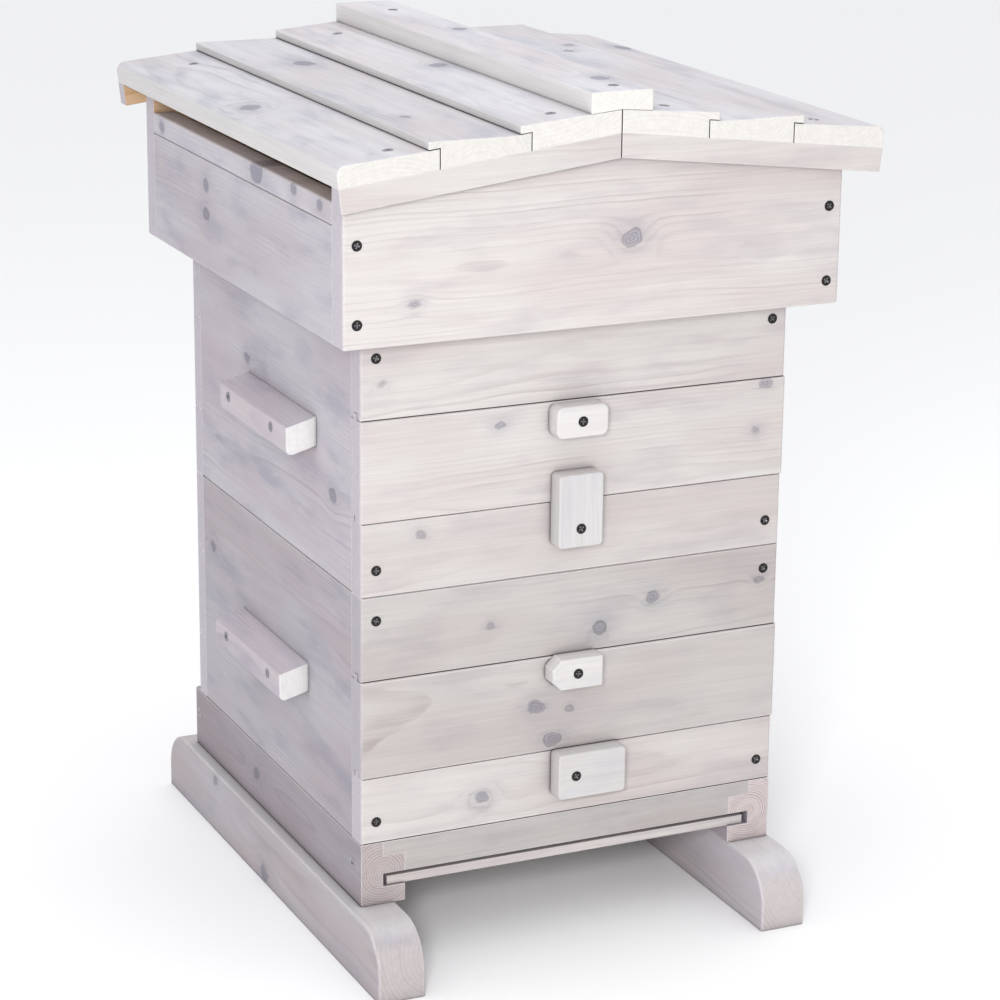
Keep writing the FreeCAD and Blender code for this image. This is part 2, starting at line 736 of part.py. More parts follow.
def make_rim(rim_holes, deck_holes):
    """The gable boards, the side boards with their strips, and the battens it rests on."""
    left, right = "(roof_shift + rim_half)", "(rim_half - roof_shift)"
    rise = f"({RIDGE} - {RIM_LOW})"
    outline = [
        (f"-{left}", "0"), (right, "0"), (right, f"{rise} - {right} * roof_rise"),
        ("0", rise), (f"-{left}", f"{rise} - {left} * roof_rise"),
    ]
    inner_y = f"{FRONT} - rim_front + gable_thick"
    run = "box_deep + rim_front + rim_back - 2 * gable_thick"
    for end, y in (("front", f"{FRONT} - rim_front"), ("back", f"{BACK} + rim_back - gable_thick")):
        body = prism(f"gable_{end}_plank", "XZ_Plane", outline, "gable_thick")
        outer = 0.0 if end == "front" else size("gable_thick")
        dress(body, "Fillet", "end_round", lambda edge: at(edge, 1, outer) and along(edge, 2))
        dress(body, "Chamfer", "arris", lambda edge: at(edge, 1, outer) and at(edge, 2, 0.0))
        place(body, "0", y, RIM_LOW)
        cut(f"gable_{end}", body, rim_holes, deck_holes)

    for kind, high, up in (
        ("board", "rim_board_high", RIM_LOW),
        ("strip", "rim_strip_high", f"{RIM_LOW} + rim_board_high"),
    ):
        side_outline = [
            ("arris", "0"), ("rim_side_thick", "0"), ("rim_side_thick", high),
            ("arris", high), ("0", f"{high} - arris"), ("0", "arris"),
        ]
        for side in ("left", "right"):
            body = prism(f"rim_{kind}_{side}_plank", "XZ_Plane", side_outline, run)
            if side == "left":
                place(body, f"{MID} - rim_half", inner_y, up)
            else:
                place(body, f"{MID} + rim_half", f"{inner_y} + {run}", up, HALF_TURN)
            cut(f"side_{kind}_{side}", body, rim_holes)

    inner_wide = "2 * (rim_half - rim_side_thick)"
    bars = []
    for end, y in (("front", inner_y), ("back", f"{BACK} + rim_back - gable_thick - gable_thick")):
        bar = slab(f"rest_batten_{end}", inner_wide, "gable_thick", "rest_high")
        place(bar, f"{MID} - rim_half + rim_side_thick", y, f"{BOX_TOP} + crown_thick")
        bars.append(bar)
    pair = doc.addObject("Part::Compound", "rest_battens")
    pair.Links = bars
    keep("rest_battens", pair)


def make_roof():
    """The rim, the deck and the cap with all their screws."""
    deep = size("box_deep")
    stand = size("runner_high") + size("rail_high")
    box_top = stand + size("lower_box_high") + size("upper_box_high")
    ridge = box_top + size("ridge_up")
    rise = size("roof_rise")
    rim_places = []
    for x in (-1, 1):
        for up in (size("rim_screw_low"), size("rim_screw_high")):
            side = x * (size("rim_half") - size("rim_screw_in"))
            for y, outward in ((-size("rim_front"), OUT_FRONT), (deep + size("rim_back"), OUT_BACK)):
                rim_places.append((hive(side, y, box_top + up), outward, size("board_screw_long")))
    rim_holes = set_screws("rim_screws", rim_places)

    # each board grows a little thicker outwards, so its face is less steep than the deck
    ridge_swell = size("ridge_swell")
    eave_start = 2 * size("board_cover") + size("lip")
    eave_end = size("roof_half") + rise * (size("eave_edge_thick") + size("batten_high"))
    eave_swell = (size("eave_edge_thick") - size("eave_thick")) / (eave_end - eave_start)
    ridge_run, eave_run = size("ridge_screw_run"), size("eave_screw_run")
    rows = (
        (ridge_run, size("ridge_board_thick") + ridge_run * ridge_swell, ridge_swell),
        (eave_run, size("eave_thick") + (eave_run - eave_start) * eave_swell, eave_swell),
    )
    cap_top = ridge + size("ridge_board_thick") + size("cap_thick")
    cap_x = size("roof_shift") + size("cap_screw_off")
    long = size("handle_screw_long")
    deck_places = []
    front_y = size("gable_thick") / 2 - size("rim_front")
    back_y = deep + size("rim_back") - size("gable_thick") / 2
    for y in (front_y, back_y):
        deck_places.append((hive(cap_x, y, cap_top), Vector(0, 0, 1), long))
        for run, up, swell in rows:
            angle = math.atan(rise) - math.atan(swell)
            for way in (-1, 1):
                point = hive(size("roof_shift") + way * run, y, ridge + up - rise * run)
                deck_places.append((point, Vector(way * math.sin(angle), 0, math.cos(angle)), long))
    deck_holes = set_screws("deck_screws", deck_places)

    make_rim(rim_holes, deck_holes)
    make_deck(deck_holes)
    make_cap(deck_holes)
    make_rakes()


# ---------------------------------------------------------------- build and write
make_runners()
make_floor()
make_box("lower", 0)
make_box("upper", 1)
make_frames("lower", 0)
make_frames("upper", 1)
make_crown_board()
make_roof()
doc.recompute()

for item in doc.Objects:
    if "Invalid" in item.State or "Error" in item.State:
        raise RuntimeError(f"{item.Label}: {item.State}")
os.makedirs("parts", exist_ok=True)
for name, item in parts.items():
    if item.Shape.isNull() or not item.Shape.isValid():
        raise RuntimeError(f"{name} has no valid shape")
    item.Shape.exportStep(f"parts/{name}.step")
print(f"{len(parts)} sub-parts written")
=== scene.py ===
"""Looks for the limewashed beehive: procedural wood on every board, metal, wax and wire mesh.

The frame holds the boards, screws and wax sheets as they were built. Each of them gets a material here, a
wire grid takes the place of the plain mesh floor, and the studio and the camera are added. Lengths are in
metres.
"""
import math
import random

import bpy
from mathutils import Matrix, Vector


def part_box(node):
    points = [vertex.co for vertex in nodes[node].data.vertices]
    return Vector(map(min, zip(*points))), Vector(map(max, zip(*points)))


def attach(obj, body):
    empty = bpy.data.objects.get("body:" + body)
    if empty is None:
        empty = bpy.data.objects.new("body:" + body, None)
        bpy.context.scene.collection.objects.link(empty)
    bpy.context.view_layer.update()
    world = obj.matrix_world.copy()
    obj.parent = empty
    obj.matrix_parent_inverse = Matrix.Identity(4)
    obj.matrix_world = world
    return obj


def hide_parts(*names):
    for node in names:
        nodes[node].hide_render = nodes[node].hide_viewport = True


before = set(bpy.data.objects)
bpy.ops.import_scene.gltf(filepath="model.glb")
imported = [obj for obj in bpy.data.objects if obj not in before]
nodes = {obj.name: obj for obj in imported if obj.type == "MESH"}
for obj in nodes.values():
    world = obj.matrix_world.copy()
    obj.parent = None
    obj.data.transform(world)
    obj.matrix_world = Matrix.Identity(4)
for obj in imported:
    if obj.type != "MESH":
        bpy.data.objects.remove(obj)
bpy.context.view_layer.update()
dice = random.Random(7)
X, Y, Z = 0, 1, 2
KNOTS_PER_BOARD = 4


# ---------------------------------------------------------------- small node helpers
def srgb(red, green, blue):
    """A display colour, 0 to 255, as the linear colour that a shader takes."""
    linear = []
    for value in (red, green, blue):
        share = value / 255
        linear.append(share / 12.92 if share <= 0.04045 else ((share + 0.055) / 1.055) ** 2.4)
    return (*linear, 1.0)


def add(tree, kind, inputs=None, **settings):
    """Adds one node; inputs are numbers, colours or other nodes' outputs."""
    made = tree.nodes.new(kind)
    for name, value in settings.items():
        setattr(made, name, value)
    for key, value in (inputs or {}).items():
        if isinstance(value, bpy.types.NodeSocket):
            tree.links.new(value, made.inputs[key])
        else:
            made.inputs[key].default_value = value
    return made


def calc(tree, operation, *values, clamp=False):
    """One arithmetic step."""
    made = add(tree, "ShaderNodeMath", dict(enumerate(values)), operation=operation, use_clamp=clamp)
    return made.outputs[0]


def times(tree, first, *others):
    """Values multiplied together."""
    for value in others:
        first = calc(tree, "MULTIPLY", first, value)
    return first


def plus(tree, first, *others):
    """Values added together."""
    for value in others:
        first = calc(tree, "ADD", first, value)
    return first


def ramp(tree, value, low, high, start=0.0, end=1.0):
    """A smooth change from start to end while the value goes from low to high."""
    inputs = {"Value": value, "From Min": low, "From Max": high, "To Min": start, "To Max": end}
    return add(tree, "ShaderNodeMapRange", inputs, interpolation_type="SMOOTHSTEP").outputs[0]


def mix(tree, factor, first, second, kind="MIX"):
    """Two colours mixed."""
    made = add(tree, "ShaderNodeMix", data_type="RGBA", blend_type=kind)
    for socket, value in ((made.inputs[0], factor), (made.inputs[6], first), (made.inputs[7], second)):
        if isinstance(value, bpy.types.NodeSocket):
            tree.links.new(value, socket)
        else:
            socket.default_value = value
    return made.outputs[2]


def join(tree, first, second, third):
    """Three numbers as a vector."""
    return add(tree, "ShaderNodeCombineXYZ", {0: first, 1: second, 2: third}).outputs[0]


def split(tree, vector):
    """A vector's three numbers."""
    return add(tree, "ShaderNodeSeparateXYZ", {0: vector}).outputs


def noise_node(tree, where, scales, detail=2.0, roughness=0.5):
    """Cloudy noise, with its own scale along each of the three directions."""
    placed = add(tree, "ShaderNodeMapping", {"Vector": where, "Scale": scales}).outputs[0]
    inputs = {"Vector": placed, "Scale": 1.0, "Detail": detail, "Roughness": roughness}
    return add(tree, "ShaderNodeTexNoise", inputs)


def noise(tree, where, scales, detail=2.0, roughness=0.5):
    """Cloudy noise as one number between 0 and 1."""
    return noise_node(tree, where, scales, detail, roughness).outputs[0]


def of_object(tree, name):
    """A value that each board carries by itself."""
    return add(tree, "ShaderNodeAttribute", attribute_type="OBJECT", attribute_name=name)


def new_material(name):
    """A material with an empty node tree, its output and its surface shader."""
    material = bpy.data.materials.new(name)
    material.use_nodes = True
    tree = material.node_tree
    tree.nodes.clear()
    surface = add(tree, "ShaderNodeBsdfPrincipled")
    add(tree, "ShaderNodeOutputMaterial", {"Surface": surface.outputs[0]})
    return material, tree, surface


# ---------------------------------------------------------------- wood
# pale, warm and cool are the colours of the wash; line is the colour of the late wood and figure how much
# of it shows through; end is the colour of sawn ends and end_line how much their rings show; ring is the
# width of a year's growth; pale_edge is how much paler the faces of the long edges are, with more wash
# and painted light
TONES = {
    "front": {
        "pale": srgb(243, 238, 234),
        "warm": srgb(236, 226, 222),
        "cool": srgb(218, 208, 212),
        "line": srgb(168, 150, 148),
        "figure": 0.425,
        # the sawn ends face the left side, lilac-grey as painted shade
        "end": srgb(228, 221, 229),
        "end_line": 0.16,
        "ring": 0.0042,
        "pale_edge": 0.0,
    },
    "closer": {
        "pale": srgb(252, 250, 248),
        "warm": srgb(249, 244, 242),
        "cool": srgb(236, 234, 241),
        "line": srgb(190, 180, 182),
        "figure": 0.20,
        "end": srgb(250, 245, 243),
        "end_line": 0.10,
        "ring": 0.0042,
        "pale_edge": 0.4,
    },
    # painted shade: the sides take the front's wash made darker and cooler
    "side": {
        "pale": srgb(231, 226, 233),
        "warm": srgb(222, 211, 217),
        "cool": srgb(184, 182, 201),
        "line": srgb(150, 142, 158),
        "figure": 0.425,
        # the sawn ends, the handles' facing the front, near white as painted light
        "end": srgb(252, 250, 248),
        "end_line": 0.05,
        "ring": 0.0042,
        "pale_edge": 0.0,
    },
    "roof": {
        "pale": srgb(244, 242, 246),
        "warm": srgb(237, 229, 231),
        "cool": srgb(201, 201, 215),
        "line": srgb(160, 153, 164),
        "figure": 0.425,
        "end": srgb(252, 248, 242),
        "end_line": 0.10,
        "ring": 0.0042,
        "pale_edge": 0.85,
    },
    "rail": {
        "pale": srgb(214, 205, 213),
        "warm": srgb(206, 193, 200),
        "cool": srgb(186, 180, 194),
        "line": srgb(150, 116, 116),
        "figure": 0.375,
        "end": srgb(240, 226, 225),
        "end_line": 0.66,
        "ring": 0.0027,
        "pale_edge": 0.0,
    },
    "runner": {
        "pale": srgb(229, 224, 230),
        "warm": srgb(224, 213, 216),
        "cool": srgb(204, 201, 212),
        "line": srgb(160, 142, 146),
        "figure": 0.40,
        "end": srgb(230, 221, 220),
        "end_line": 0.26,
        "ring": 0.0042,
        "pale_edge": 0.5,
    },
    "bare": {
        "pale": srgb(252, 226, 186),
        "warm": srgb(246, 208, 158),
        "cool": srgb(232, 206, 172),
        "line": srgb(206, 150, 100),
        "figure": 1.0,
        "end": srgb(232, 190, 142),
        "end_line": 0.6,
        "ring": 0.0040,
        "pale_edge": 0.0,
    },
}
BARE_PALE = srgb(242, 206, 166)
BARE_LINE = srgb(206, 152, 106)
KNOT_CORE = srgb(142, 140, 154)
KNOT_RIM = srgb(88, 86, 100)
KNOT_HALO = srgb(164, 162, 178)
# rubbed wash and painted highlight, on the arrises and on the faces of the long edges
RUBBED_WASH_AND_HIGHLIGHT = srgb(254, 251, 249)
# painted shade in the joints and under overhangs, with grime in the joints
PAINTED_SHADE_AND_GRIME = srgb(62, 52, 58)
# how fine each noise is: cycles per metre along the grain, across it and through the board
OUTLINE_SCALE = (90, 90, 90)
SWAY_SCALE = (5, 14, 14)
RIPPLE_SCALE = (9, 60, 60)
CLOUD_SCALE = (4, 13, 13)
PATCH_SCALE = (3, 12, 12)
HAZE_SCALE = (9, 30, 30)
STREAK_SCALE = (6, 160, 160)
FIBRE_SCALE = (14, 700, 700)
YEARS_SCALE = 140.0
# how far the growth rings wander, slowly and quickly
SWAY = 0.012
RIPPLE = 0.0022
# knots: longer along the grain, at full strength from a certain radius, with a rim and rings of their own
KNOT_SQUEEZE = 0.75
KNOT_FULL_RADIUS = 0.0045
KNOT_FADE = 0.0014
KNOT_RIM_WIDTH = 0.0013
KNOT_HALO_REACH = 2.3
KNOT_PUSH = 1.5
KNOT_RING_RATE = 2600.0
KNOT_SHIFT_LONG = 0.009
KNOT_SHIFT_WIDE = 0.007
# how near other surfaces are where painted shade and grime darken the joints, and where painted shade
# falls under overhangs
CREVICE_REACH = 0.005
SHELTER_REACH = 0.022
# the width of a rubbed arris and of its painted highlight, and the height of the fibres
ARRIS_WIDTH = 0.0015
FIBRE_RELIEF = 0.0006


def knot_marks(tree, length, width, number):
    """One knot: how much it is here, its rim, its push on the growth rings, its rings, its halo."""
    knot = split(tree, of_object(tree, f"knot_{number}").outputs["Vector"])
    radius = knot[2]
    step = times(tree, calc(tree, "SUBTRACT", length, knot[0]), KNOT_SQUEEZE)
    rise = calc(tree, "SUBTRACT", width, knot[1])
    away = calc(tree, "SQRT", plus(tree, times(tree, step, step), times(tree, rise, rise)))
    inside = calc(tree, "DIVIDE", calc(tree, "SUBTRACT", radius, away), KNOT_FADE, clamp=True)
    strength = calc(tree, "DIVIDE", radius, KNOT_FULL_RADIUS, clamp=True)
    core = times(tree, inside, strength)
    from_rim = calc(tree, "ABSOLUTE", calc(tree, "SUBTRACT", radius, away))
    rim = calc(tree, "SUBTRACT", 1.0, calc(tree, "DIVIDE", from_rim, KNOT_RIM_WIDTH), clamp=True)
    rim = times(tree, rim, strength)
    reach = calc(tree, "DIVIDE", away, times(tree, radius, KNOT_HALO_REACH))
    fade = calc(tree, "EXPONENT", times(tree, reach, reach, -1.0))
    push = times(tree, radius, KNOT_PUSH, fade)
    rings = calc(tree, "SINE", times(tree, away, KNOT_RING_RATE))
    halo = times(tree, fade, strength)
    return core, rim, push, rings, halo


def all_knots(tree, grain, length, width):
    """All of a board's knots together, their outlines a little uneven."""
    shift = split(tree, noise_node(tree, grain, OUTLINE_SCALE).outputs["Color"])
    knot_long = calc(tree, "MULTIPLY_ADD", shift[0], KNOT_SHIFT_LONG,
                     calc(tree, "SUBTRACT", length, KNOT_SHIFT_LONG / 2))
    knot_wide = calc(tree, "MULTIPLY_ADD", shift[1], KNOT_SHIFT_WIDE,
                     calc(tree, "SUBTRACT", width, KNOT_SHIFT_WIDE / 2))
    together = {"core": 0.0, "rim": 0.0, "push": 0.0, "rings": 0.0, "halo": 0.0}
    for number in range(KNOTS_PER_BOARD):
        core, rim, push, rings, halo = knot_marks(tree, knot_long, knot_wide, number)
        together["push"] = plus(tree, together["push"], push)
        together["rings"] = plus(tree, together["rings"], times(tree, rings, core))
        together["core"] = calc(tree, "MAXIMUM", together["core"], core)
        together["rim"] = calc(tree, "MAXIMUM", together["rim"], rim)
        together["halo"] = calc(tree, "MAXIMUM", together["halo"], halo)
    return together


def late_wood(tree, place, seed, grain, push, ring_width):
    """How much late wood is here: rings about a leaning pith, which reach the faces as arches."""
    length, width, depth = place
    pith = split(tree, of_object(tree, "pith").outputs["Vector"])
    lean = times(tree, plus(tree, length, seed), pith[2])
    out_wide = calc(tree, "SUBTRACT", width, pith[0])
    out_deep = plus(tree, calc(tree, "SUBTRACT", depth, pith[1]), lean)
    square = plus(tree, times(tree, out_wide, out_wide), times(tree, out_deep, out_deep))
    sway = times(tree, noise(tree, grain, SWAY_SCALE), SWAY)
    ripple = times(tree, noise(tree, grain, RIPPLE_SCALE, 3.0), RIPPLE)
    radius = plus(tree, calc(tree, "SQRT", square), plus(tree, sway, ripple))
    radius = plus(tree, radius, push)
    ring = calc(tree, "FRACT", calc(tree, "DIVIDE", radius, ring_width))
    late = times(tree, ramp(tree, ring, 0.45, 0.92), ramp(tree, ring, 1.0, 0.94))
    # some years are stronger than others
    year = noise(tree, join(tree, times(tree, radius, YEARS_SCALE), seed, 0.0), (1, 1, 1), 1.0)
    return times(tree, late, ramp(tree, year, 0.30, 0.72, 0.15, 1.0))


def washed_faces(tree, grain, late, haze, streak, colours):
    """Clouds of wash with the late wood showing through in patches."""
    cloud = noise(tree, grain, CLOUD_SCALE, 3.0)
    patch = noise(tree, grain, PATCH_SCALE)
    colour = mix(tree, ramp(tree, cloud, 0.36, 0.64), colours["pale"], colours["warm"])
    colour = mix(tree, ramp(tree, haze, 0.46, 0.76, 0.0, 0.6), colour, colours["cool"])
    showing = times(tree, ramp(tree, streak, 0.32, 0.68, 0.2, 1.0),
                    ramp(tree, patch, 0.40, 0.62, 0.25, 1.0), colours["figure"])
    return mix(tree, times(tree, late, showing), colour, colours["line"])


def with_knots(tree, colour, knots, haze, streak, colours):
    """The colour with the knots' halos, cores and broken rims over it."""
    smudge = times(tree, knots["halo"], ramp(tree, streak, 0.30, 0.64, 0.05, 0.5))
    colour = mix(tree, smudge, colour, KNOT_HALO)
    knot_colour = mix(tree, ramp(tree, knots["rings"], -0.8, 0.8, 0.0, 0.5), KNOT_CORE, colours["cool"])
    colour = mix(tree, times(tree, knots["core"], 0.7), colour, knot_colour)
    broken = ramp(tree, haze, 0.36, 0.62, 0.2, 0.62)
    return mix(tree, times(tree, knots["rim"], broken), colour, KNOT_RIM)


def with_wear_and_painted_light(tree, colour, round_edge, bare):
    """The colour with painted highlights and rubbed wash on the arrises of the washed faces, painted
    shade and grime in the joints, and painted shade under overhangs.
    """
    # painted highlight on the rounded arrises of the washed faces, with the wash rubbed pale there
    flat = add(tree, "ShaderNodeNewGeometry").outputs["Normal"]
    same = add(tree, "ShaderNodeVectorMath", {0: round_edge, 1: flat}, operation="DOT_PRODUCT")
    edge = ramp(tree, same.outputs["Value"], 0.995, 0.90)
    edge = times(tree, edge, calc(tree, "SUBTRACT", 1.0, bare))
    colour = mix(tree, times(tree, edge, 0.6), colour, RUBBED_WASH_AND_HIGHLIGHT)
    # painted shade and grime in the joints and corners, where other surfaces are near
    nearby = add(tree, "ShaderNodeAmbientOcclusion", {"Distance": CREVICE_REACH}, samples=6)
    crevice = ramp(tree, nearby.outputs["AO"], 0.84, 0.38, 0.0, 0.88)
    # painted shade under the overhangs and round the closers
    around = add(tree, "ShaderNodeAmbientOcclusion", {"Distance": SHELTER_REACH}, samples=6)
    sheltered = ramp(tree, around.outputs["AO"], 0.85, 0.35, 0.0, 0.34)
    return mix(tree, calc(tree, "MAXIMUM", crevice, sheltered), colour, PAINTED_SHADE_AND_GRIME)


def wood(name, along, across, tone):
    """Limewashed softwood, cut as a solid out of a log whose rings run about each board's pith.

    along is the axis of the grain and across the axis of the board's width.
    """
    material, tree, surface = new_material(name)
    colours = TONES[tone]
    place = add(tree, "ShaderNodeTexCoord")
    axes = split(tree, place.outputs["Object"])
    facing = split(tree, place.outputs["Normal"])
    length, width, depth = axes[along], axes[across], axes[3 - along - across]
    seed = of_object(tree, "seed").outputs["Fac"]
    grain = join(tree, plus(tree, length, seed), width, plus(tree, depth, seed))
    haze = noise(tree, grain, HAZE_SCALE, 3.0, 0.6)
    fibre = noise(tree, grain, FIBRE_SCALE, 3.0, 0.65)
    streak = noise(tree, grain, STREAK_SCALE, 2.0, 0.6)
    knots = all_knots(tree, grain, length, width)
    late = late_wood(tree, (length, width, depth), seed, grain, knots["push"], colours["ring"])

    # the washed faces, the long edges and the sawn ends
    colour = washed_faces(tree, grain, late, haze, streak, colours)
    # the faces of the long edges paler: more wash, and painted light
    long_edge = ramp(tree, calc(tree, "ABSOLUTE", facing[across]), 0.7, 0.95)
    colour = mix(tree, times(tree, long_edge, colours["pale_edge"]), colour, RUBBED_WASH_AND_HIGHLIGHT)
    end = ramp(tree, calc(tree, "ABSOLUTE", facing[along]), 0.6, 0.9)
    end_colour = mix(tree, times(tree, late, colours["end_line"]), colours["end"], colours["line"])
    colour = mix(tree, end, colour, end_colour)

    # faces that were never washed
    bare_way = of_object(tree, "bare_way").outputs["Vector"]
    turned = {0: place.outputs["Normal"], 1: bare_way}
    dot = add(tree, "ShaderNodeVectorMath", turned, operation="DOT_PRODUCT")
    bare = ramp(tree, dot.outputs["Value"], 0.6, 0.8)
    colour = mix(tree, bare, colour, mix(tree, times(tree, late, 0.6), BARE_PALE, BARE_LINE))

    # knots, then the fibres and the board's own shade
    colour = with_knots(tree, colour, knots, haze, streak, colours)
    fibre_shade = times(tree, ramp(tree, fibre, 0.25, 0.75, 0.93, 1.03),
                        ramp(tree, streak, 0.25, 0.75, 0.96, 1.03))
    shade = times(tree, fibre_shade, of_object(tree, "shade").outputs["Fac"])
    colour = mix(tree, 1.0, colour, join(tree, shade, shade, shade), "MULTIPLY")

    round_edge = add(tree, "ShaderNodeBevel", {"Radius": ARRIS_WIDTH}, samples=4).outputs[0]
    colour = with_wear_and_painted_light(tree, colour, round_edge, bare)
    tree.links.new(colour, surface.inputs["Base Color"])

    # relief of the grain, and a dull finish that varies with the fibres
    height = plus(tree, times(tree, late, -0.25), times(tree, fibre, 0.5))
    height = calc(tree, "SUBTRACT", height, times(tree, knots["rim"], 0.5))
    relief = {"Strength": 0.35, "Distance": FIBRE_RELIEF, "Height": height, "Normal": round_edge}
    tree.links.new(add(tree, "ShaderNodeBump", relief).outputs[0], surface.inputs["Normal"])
    tree.links.new(ramp(tree, fibre, 0.3, 0.7, 0.58, 0.74), surface.inputs["Roughness"])
    surface.inputs["Specular IOR Level"].default_value = 0.35
    return material


# which boards run which way: part of the name, grain axis, width axis, tone; the first that fits counts
BOARD_RULES = (
    ("crown_board", X, Y, "bare"),
    ("rest_battens", X, Z, "bare"),
    ("frames", X, Z, "bare"),
    ("slide_board", X, Y, "front"),
    ("upper_large_closer", Z, X, "closer"),
    ("closer", X, Z, "closer"),
    ("handle", Y, Z, "side"),
    ("side", Y, Z, "side"),
    ("roof", Y, X, "roof"),
    ("ridge_cap", Y, X, "roof"),
    ("rake", X, Z, "front"),
    ("gable", X, Z, "front"),
    ("runner", Y, Z, "runner"),
    ("rail", Y, Z, "rail"),
    ("floor", X, Z, "front"),
    ("front", X, Z, "front"),
    ("back", X, Z, "front"),
)
# knots by board: share of the length, share of the width, radius in metres
BOARD_KNOTS = {
    "lower_front_middle_board": ((0.41, 0.46, 0.0062), (0.45, 0.11, 0.0070), (0.49, 0.40, 0.0030)),
    "lower_front_top_board": (
        (0.69, 0.55, 0.0050), (0.56, 0.26, 0.0058), (0.30, 0.47, 0.0032), (0.957, 0.58, 0.0034),
    ),
    "lower_front_bottom_board": ((0.283, 0.41, 0.0052),),
    "upper_front_middle_board": ((0.95, 0.90, 0.0052), (0.93, 0.46, 0.0038), (0.315, 0.78, 0.0032)),
    "upper_front_bottom_board": ((0.137, 0.71, 0.0036),),
    "upper_front_top_board": ((0.05, 0.42, 0.0030),),
    "gable_front": ((0.563, 0.445, 0.0075), (0.136, 0.20, 0.0040)),
    "side_board_left": ((0.68, 0.77, 0.0060), (0.68, 0.51, 0.0062)),
    "side_strip_left": (
        (0.95, 0.5, 0.0052), (0.39, 0.7, 0.0110), (0.19, 0.7, 0.0050), (0.06, 0.6, 0.0058),
    ),
    "roof_left_eave_board": ((0.48, 0.30, 0.0095),),
    "roof_left_middle_board": ((0.72, 0.55, 0.0095), (0.20, 0.3, 0.0040)),
}
# how light each board is beside its neighbours
BOARD_SHADE = {
    "lower_front_middle_board": 0.83,
    "lower_front_top_board": 0.81,
    "upper_front_bottom_board": 0.93,
    "floor_front_board": 0.75,
    "gable_front": 1.02,
    "lower_side_left": 0.84,
    "floor_rail_left": 0.76,
    "runner_left": 0.88,
    "roof_left_ridge_board": 1.04,
    "ridge_cap": 1.10,
    "roof_right_ridge_board": 1.05,
    "roof_right_middle_board": 1.05,
    "roof_right_eave_board": 1.05,
    "upper_small_closer": 1.00,
    "upper_large_closer": 0.88,
    "lower_small_closer": 0.97,
    "lower_large_closer": 0.89,
    "side_strip_left": 1.05,
    "upper_handle_left": 1.07,
    "lower_handle_left": 1.07,
}
# how light the wash is as a whole
WASH = 0.71
# the faces of each kind of board that were left bare
BARE_FACES = (
    ("_front_", (0, 1, 0)),
    ("gable_front", (0, 1, 0)),
    ("_back_", (0, -1, 0)),
    ("gable_back", (0, -1, 0)),
    ("rake_back", (0, -1, 0)),
    ("side_left", (1, 0, 0)),
    ("side_right", (-1, 0, 0)),
    ("board_left", (1, 0, 0)),
    ("board_right", (-1, 0, 0)),
    ("strip_left", (1, 0, 0)),
    ("strip_right", (-1, 0, 0)),
    ("roof_", (0, 0, -1)),
)
# boards longer and wider than this get a few seeded knots where none are listed
BIG_LENGTH = 0.3
BIG_WIDTH = 0.05


def board_knots(name, along, across):
    """Knots as (place along, place across, radius), listed or a seeded few on the big boards."""
    low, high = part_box(name)
    size = high - low
    shares = BOARD_KNOTS.get(name)
    if shares is None:
        big = size[along] > BIG_LENGTH and size[across] > BIG_WIDTH
        count = dice.choice((1, 2, 2, 3)) if big else 0
        shares = []
        for _ in range(count):
            share_long = dice.uniform(0.06, 0.94)
            share_wide = dice.uniform(0.12, 0.88)
            shares.append((share_long, share_wide, dice.uniform(0.0035, 0.0075)))
    knots = []
    for share_long, share_wide, radius in shares:
        place_long = low[along] + share_long * size[along]
        place_wide = low[across] + share_wide * size[across]
        knots.append((place_long, place_wide, radius))
    return knots


def dress_board(name, along, across, made):
    """Gives one board its material and the values that make it differ from the others."""
    board = nodes[name]
    low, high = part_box(name)
    middle = (low + high) / 2
    through = 3 - along - across
    side = dice.choice((-1, 1))
    board["seed"] = dice.uniform(0.0, 9.0)
    board["pith"] = (
        middle[across] + dice.uniform(-0.4, 0.4) * (high - low)[across],
        middle[through] + side * dice.uniform(0.02, 0.05),
        dice.choice((-1, 1)) * dice.uniform(0.006, 0.02),
    )
    if "rail" in name:
        # the rails are sawn round the heart of the log
        board["pith"] = (middle[across], middle[through], 0.0)
    # the draw is made for every board, so that a listed shade doesn't change the other boards
    own_shade = dice.uniform(0.96, 1.0)
    board["shade"] = WASH * BOARD_SHADE.get(name, own_shade)
    bare_way = next((way for part, way in BARE_FACES if part in name), (0, 0, 0))
    board["bare_way"] = [float(value) for value in bare_way]
    knots = board_knots(name, along, across)
    for number in range(KNOTS_PER_BOARD):
        board[f"knot_{number}"] = knots[number] if number < len(knots) else (0.0, 0.0, 0.0)
    board.data.materials.clear()
    board.data.materials.append(made)


def dress_boards():
    """Wood on every board of the hive."""
    made = {}
    for name in sorted(nodes):
        rule = next((rule for rule in BOARD_RULES if rule[0] in name), None)
        if rule is None or "screws" in name or "foundations" in name or name == "mesh_floor":
            continue
        _, along, across, tone = rule
        key = (tone, along, across)
        if key not in made:
            made[key] = wood(f"wood_{tone}_{'xyz'[along]}{'xyz'[across]}", along, across, tone)
        dress_board(name, along, across, made[key])


# ---------------------------------------------------------------- metal and wax
DARK_STEEL = srgb(30, 30, 34)
HANDLE_ZINC = srgb(150, 150, 156)
ZINC = srgb(176, 176, 182)
WIRE = srgb(176, 178, 180)
# painted glint in the screw recess
RECESS_GLINT = srgb(214, 214, 218)
TARNISH = srgb(120, 112, 104)
WAX_PALE = srgb(232, 190, 96)
WAX_DEEP = srgb(214, 164, 72)
MOTTLE_SCALE = (900, 900, 900)
RECESS_REACH = 0.002
# the heads of a handle's screws lie within this of its outer face
HANDLE_SCREW_DEPTH = 0.004
WAX_CELLS = 185.0
WAX_CLOUD_SCALE = (12, 12, 12)
WAX_RELIEF = 0.0008


